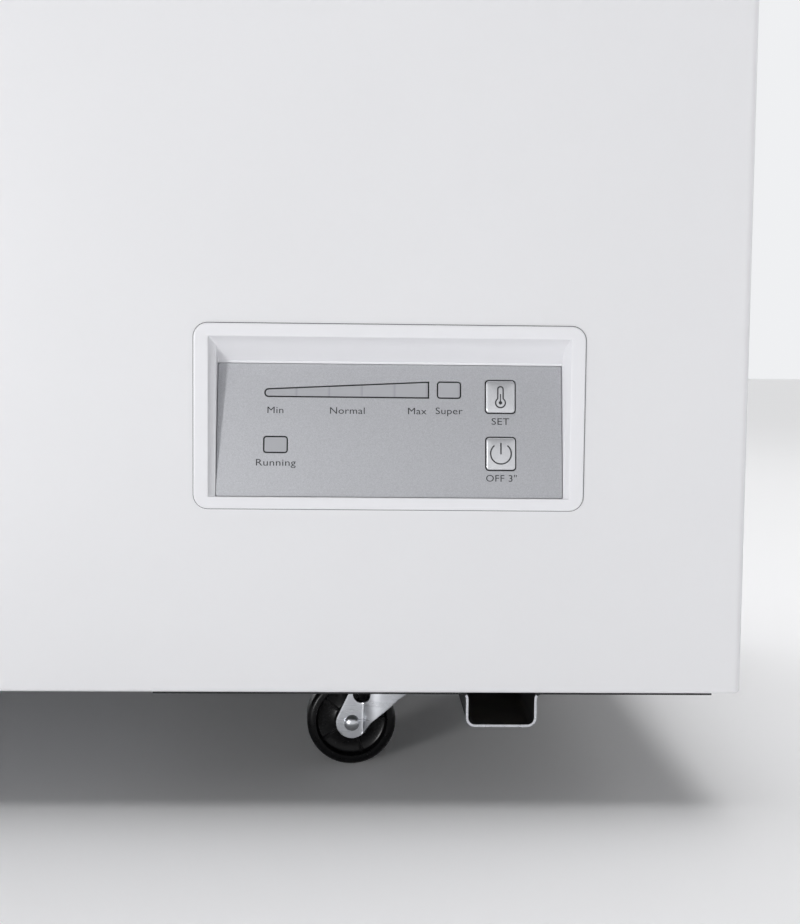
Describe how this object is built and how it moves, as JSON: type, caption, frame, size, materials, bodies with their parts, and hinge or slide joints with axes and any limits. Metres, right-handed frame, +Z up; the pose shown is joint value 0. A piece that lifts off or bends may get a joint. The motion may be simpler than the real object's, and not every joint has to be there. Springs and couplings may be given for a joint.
{
  "type": "chest freezer",
  "caption": "White chest freezer on swivel casters, with a rear-hinged lid, hanging basket, compressor compartment and a recessed key control panel at the lower front.",
  "frame": {"origin": "on the floor under the middle of the bounding box", "axes": "+X to the right seen from the front, +Y from front to back, +Z up"},
  "size_m": [0.959, 0.576, 0.85],
  "materials": {
    "cabinet_paint": "satin",
    "lid_paint": "satin",
    "back_paint": "satin",
    "white_moulding": "satin",
    "bezel_plastic": "satin",
    "liner_skin": "satin",
    "gasket_rubber": "matte",
    "grommet_rubber": "matte",
    "zinc_sheet": "satin",
    "zinc_bright": "satin",
    "wheel_black": "gloss",
    "fascia_silver": "satin",
    "key_silver": "satin",
    "lens_grey": "gloss",
    "board_green": "satin",
    "compressor_black": "satin",
    "terminal_black": "matte",
    "copper": "satin",
    "tube_metal": "satin",
    "foam": "matte",
    "basket_coating": "satin"
  },
  "bodies": {
    "cabinet": {"cabinet_wrap": "cabinet_paint", "back_panel": "back_paint", "rim_frame": "white_moulding", "drain_tube": "white_moulding", "vent_grille": "white_moulding", "control_housing": "white_moulding", "control_bezel": "bezel_plastic", "inner_liner": "liner_skin", "compressor_grommet_1": "grommet_rubber", "compressor_grommet_2": "grommet_rubber", "compressor_grommet_3": "grommet_rubber", "compressor_grommet_4": "grommet_rubber", "machine_base": "zinc_sheet", "left_base": "zinc_sheet", "bottom_panel": "zinc_sheet", "rear_cover": "zinc_sheet", "hinge_base_left": "zinc_sheet", "hinge_base_right": "zinc_sheet", "hinge_pin_left": "zinc_bright", "hinge_pin_right": "zinc_bright", "hinge_spring_left": "zinc_bright", "hinge_spring_right": "zinc_bright", "caster_plate_front_right": "zinc_bright", "caster_plate_front_left": "zinc_bright", "caster_plate_rear_right": "zinc_bright", "caster_plate_rear_left": "zinc_bright", "control_fascia": "fascia_silver", "level_lens": "lens_grey", "running_lens": "lens_grey", "control_board": "board_green", "compressor": "compressor_black", "terminal_cover": "terminal_black", "cord_gland": "terminal_black", "filter_drier": "copper", "evaporator_tube": "tube_metal", "condenser_tube": "tube_metal", "foam_insulation": "foam"},
    "lid": {"lid_skin": "lid_paint", "lid_liner": "white_moulding", "lid_foam": "foam", "lid_gasket": "gasket_rubber", "lid_handle": "white_moulding", "hinge_leaf_left": "zinc_sheet", "hinge_leaf_right": "zinc_sheet"},
    "set_key": {"set_button": "key_silver"},
    "off_key": {"off_button": "key_silver"},
    "basket": {"wire_basket": "basket_coating"},
    "drain_stopper": {"drain_cap": "white_moulding"},
    "fork_front_right": {"caster_fork_front_right": "zinc_bright", "caster_axle_front_right": "zinc_bright"},
    "wheel_front_right": {"caster_wheel_front_right": "wheel_black"},
    "fork_front_left": {"caster_fork_front_left": "zinc_bright", "caster_axle_front_left": "zinc_bright"},
    "wheel_front_left": {"caster_wheel_front_left": "wheel_black"},
    "fork_rear_right": {"caster_fork_rear_right": "zinc_bright", "caster_axle_rear_right": "zinc_bright"},
    "wheel_rear_right": {"caster_wheel_rear_right": "wheel_black"},
    "fork_rear_left": {"caster_fork_rear_left": "zinc_bright", "caster_axle_rear_left": "zinc_bright"},
    "wheel_rear_left": {"caster_wheel_rear_left": "wheel_black"}
  },
  "joints": [
    {"name": "lid_hinge", "type": "hinge", "parent": "cabinet", "child": "lid", "pos_m": [0, 0.279, 0.7985], "axis": [-1, 0, 0], "range_deg": [0, 80]},
    {"name": "set_press", "type": "slide", "parent": "cabinet", "child": "set_key", "axis": [0, 0.9863, -0.165], "range_m": [0, 0.0008], "stiffness_N_per_m": 1500},
    {"name": "off_press", "type": "slide", "parent": "cabinet", "child": "off_key", "axis": [0, 0.9863, -0.165], "range_m": [0, 0.0008], "stiffness_N_per_m": 1500},
    {"name": "basket_slide", "type": "slide", "parent": "cabinet", "child": "basket", "axis": [1, 0, 0], "range_m": [-0.505, 0]},
    {"name": "drain_cap_pull", "type": "slide", "parent": "cabinet", "child": "drain_stopper", "axis": [-1, 0, 0], "range_m": [0, 0.022]},
    {"name": "swivel_front_right", "type": "hinge", "parent": "cabinet", "child": "fork_front_right", "pos_m": [0.2935, -0.174, 0.05], "axis": [0, 0, 1], "continuous": true},
    {"name": "spin_front_right", "type": "hinge", "parent": "fork_front_right", "child": "wheel_front_right", "pos_m": [0.27353, -0.17505, 0.025], "axis": [-0.0523, 0.9986, 0], "continuous": true},
    {"name": "swivel_front_left", "type": "hinge", "parent": "cabinet", "child": "fork_front_left", "pos_m": [-0.2935, -0.174, 0.05], "axis": [0, 0, 1], "continuous": true},
    {"name": "spin_front_left", "type": "hinge", "parent": "fork_front_left", "child": "wheel_front_left", "pos_m": [-0.31313, -0.17782, 0.025], "axis": [-0.1908, 0.9816, 0], "continuous": true},
    {"name": "swivel_rear_right", "type": "hinge", "parent": "cabinet", "child": "fork_rear_right", "pos_m": [0.2935, 0.177, 0.05], "axis": [0, 0, 1], "continuous": true},
    {"name": "spin_rear_right", "type": "hinge", "parent": "fork_rear_right", "child": "wheel_rear_right", "pos_m": [0.31349, 0.1763, 0.025], "axis": [-0.0349, -0.9994, 0], "continuous": true},
    {"name": "swivel_rear_left", "type": "hinge", "parent": "cabinet", "child": "fork_rear_left", "pos_m": [-0.2935, 0.177, 0.05], "axis": [0, 0, 1], "continuous": true},
    {"name": "spin_rear_left", "type": "hinge", "parent": "fork_rear_left", "child": "wheel_rear_left", "pos_m": [-0.27375, 0.17387, 0.025], "axis": [-0.1564, -0.9877, 0], "continuous": true}
  ]
}
